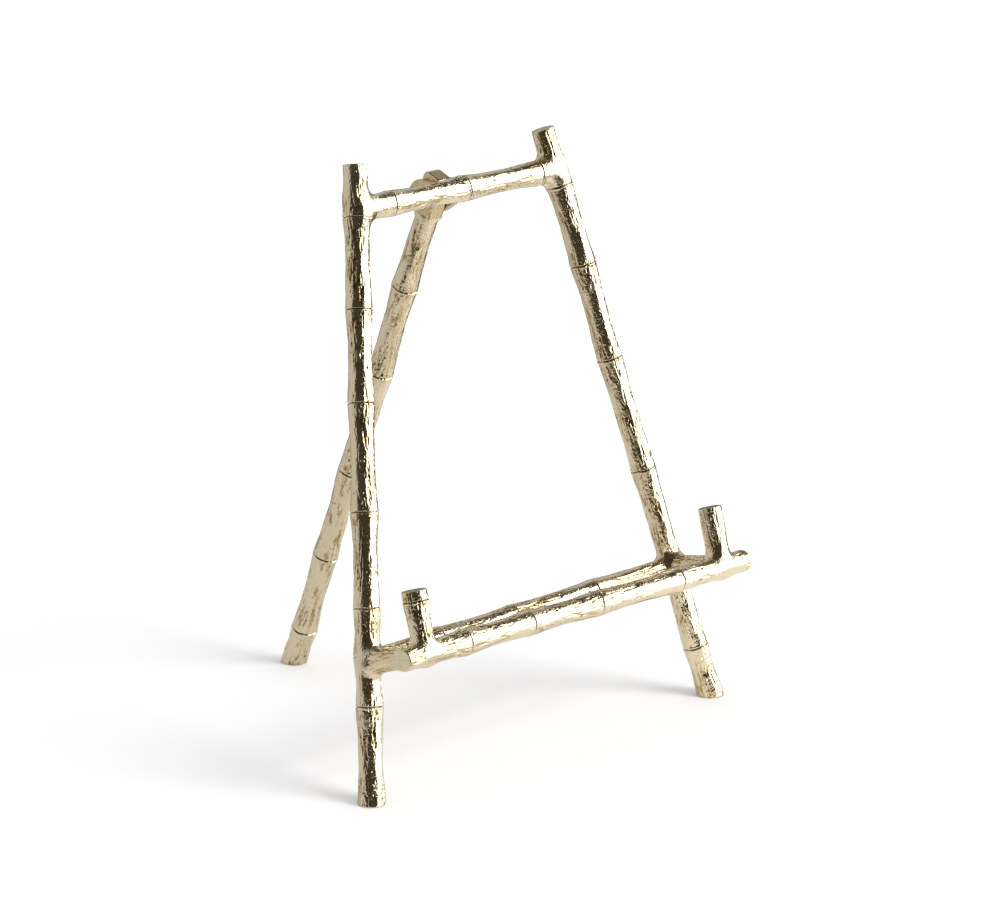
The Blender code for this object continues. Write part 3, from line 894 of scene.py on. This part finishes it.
def floor_paper(name, painted_light_level, painted_shade_level):
    """Matt paper whose colour is painted light on the key light's side and painted shade on the other, at the two
    levels given; equal levels give even paper.
    """
    material, nodes, shader = new_material(name)
    object_place = nodes.add("ShaderNodeTexCoord").outputs["Object"]
    place = nodes.add("ShaderNodeSeparateXYZ", Vector=object_place).outputs
    side = nodes.math("ADD", nodes.math("SUBTRACT", place["X"], place["Y"]), 0.5)
    levels = zip(TABLE_SIDES, (painted_shade_level, painted_light_level))
    nodes.set(shader, "Base Color", nodes.greys(side, levels))
    nodes.set(shader, "Roughness", 1.0)
    nodes.set(shader, "Specular IOR Level", 0.0)
    return material


# ---------------------------------------------------------------- stage

def towards(azimuth, elevation):
    """Direction from the easel towards a place in the studio."""
    level = math.cos(elevation)
    return Vector((math.sin(azimuth) * level, -math.cos(azimuth) * level, math.sin(elevation)))


def build_camera():
    camera = bpy.data.cameras.new("camera")
    camera.lens, camera.sensor_width = CAMERA_LENS, CAMERA_SENSOR
    camera.clip_start, camera.clip_end = CAMERA_CLIP
    back = towards(CAMERA_AZIMUTH, CAMERA_ELEVATION)
    holder = bpy.data.objects.new("camera", camera)
    holder.location = CAMERA_TARGET + back * CAMERA_DISTANCE
    holder.rotation_euler = back.to_track_quat("Z", "Y").to_euler()
    bpy.context.scene.collection.objects.link(holder)
    bpy.context.scene.camera = holder


def sheet(name, half, height, material):
    """Flat square of paper for the easel to stand on."""
    mesh = bpy.data.meshes.new(name)
    mesh.from_pydata([(-half, -half, height), (half, -half, height), (half, half, height),
                      (-half, half, height)], [], [(0, 1, 2, 3)])
    mesh.materials.append(material)
    paper = bpy.data.objects.new(name, mesh)
    bpy.context.scene.collection.objects.link(paper)
    return paper


def build_floor():
    """Endless white floor, and the tabletop that the metal mirrors in its place."""
    floor = sheet("floor", FLOOR_HALF, 0.0, floor_paper("floor_paper", FLOOR_LEVEL, FLOOR_LEVEL))
    floor.visible_glossy = False
    # the tabletop's colour has painted light on the key light's side and painted shade on the other
    tabletop = sheet("tabletop", TABLE_HALF, TABLE_LIFT, floor_paper("table_painted_light", *TABLE_PAINTED_LIGHT_LEVELS))
    tabletop.visible_camera = tabletop.visible_diffuse = tabletop.visible_shadow = False


def build_key():
    """Soft key light, far enough away that the floor is evenly white."""
    light = bpy.data.lights.new("key", "SUN")
    light.energy, light.angle = KEY_STRENGTH, KEY_SPREAD
    lamp = bpy.data.objects.new("key", light)
    lamp.rotation_euler = towards(KEY_AZIMUTH, KEY_ELEVATION).to_track_quat("Z", "Y").to_euler()
    lamp.visible_camera = lamp.visible_glossy = False
    bpy.context.scene.collection.objects.link(lamp)


def build_world():
    """Daylight studio. What the metal mirrors: a dark room in front, a great softbox at the
    right, pale walls at the left and behind, and a dim ceiling. Dim light is warm.
    """
    world = bpy.data.worlds.new("studio")
    bpy.context.scene.world = world
    world.use_nodes = True
    nodes = Nodes(world.node_tree)
    background = world.node_tree.nodes["Background"]
    ray = nodes.add("ShaderNodeSeparateXYZ",
                    Vector=nodes.add("ShaderNodeTexCoord").outputs["Generated"]).outputs
    azimuth = nodes.math("MULTIPLY", 180 / math.pi, nodes.math(
        "ARCTAN2", ray["X"], nodes.math("MULTIPLY", ray["Y"], -1.0)))
    elevation = nodes.math("MULTIPLY", 180 / math.pi, nodes.math("ARCSINE", ray["Z"]))

    level = WALL_LEVEL
    for low, high, bottom, top, soft, strength in MIRRORED:
        share = nodes.math("MULTIPLY", nodes.window(azimuth, low, high, soft),
                           nodes.window(elevation, bottom, top, soft))
        change = nodes.math("SUBTRACT", strength, level)
        level = nodes.math("ADD", level, nodes.math("MULTIPLY", share, change))
    glossy = nodes.add("ShaderNodeLightPath").outputs["Is Glossy Ray"]
    strength = nodes.math("ADD", nodes.math("MULTIPLY", level, glossy),
                          nodes.math("MULTIPLY", AMBIENT, nodes.math("SUBTRACT", 1.0, glossy)))
    tint = nodes.math("MAXIMUM", strength, nodes.math("SUBTRACT", 1.0, glossy))
    nodes.set(background, "Color", nodes.ramp(tint, TINTS))
    nodes.set(background, "Strength", strength)


def build_stage():
    build_camera()
    build_floor()
    build_world()
    build_key()
    bpy.context.scene.view_settings.view_transform = "Standard"


# ---------------------------------------------------------------- assembly

def main():
    build_stage()
    plate, rivet = champagne_plate(), pin_plate()
    pieces = {node: make_frame_stick(node) for node in STICKS}
    pieces.update({node: make_lug(node) for node in LUGS})
    pieces["back_leg"] = make_back_leg()
    pieces["hinge_pin"] = make_pin()
    for node, piece in pieces.items():
        piece.data.materials.append(rivet if node == "hinge_pin" else plate)
        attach(piece, "rear_leg" if node == "back_leg" else "front_frame")
        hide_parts(node)


main()
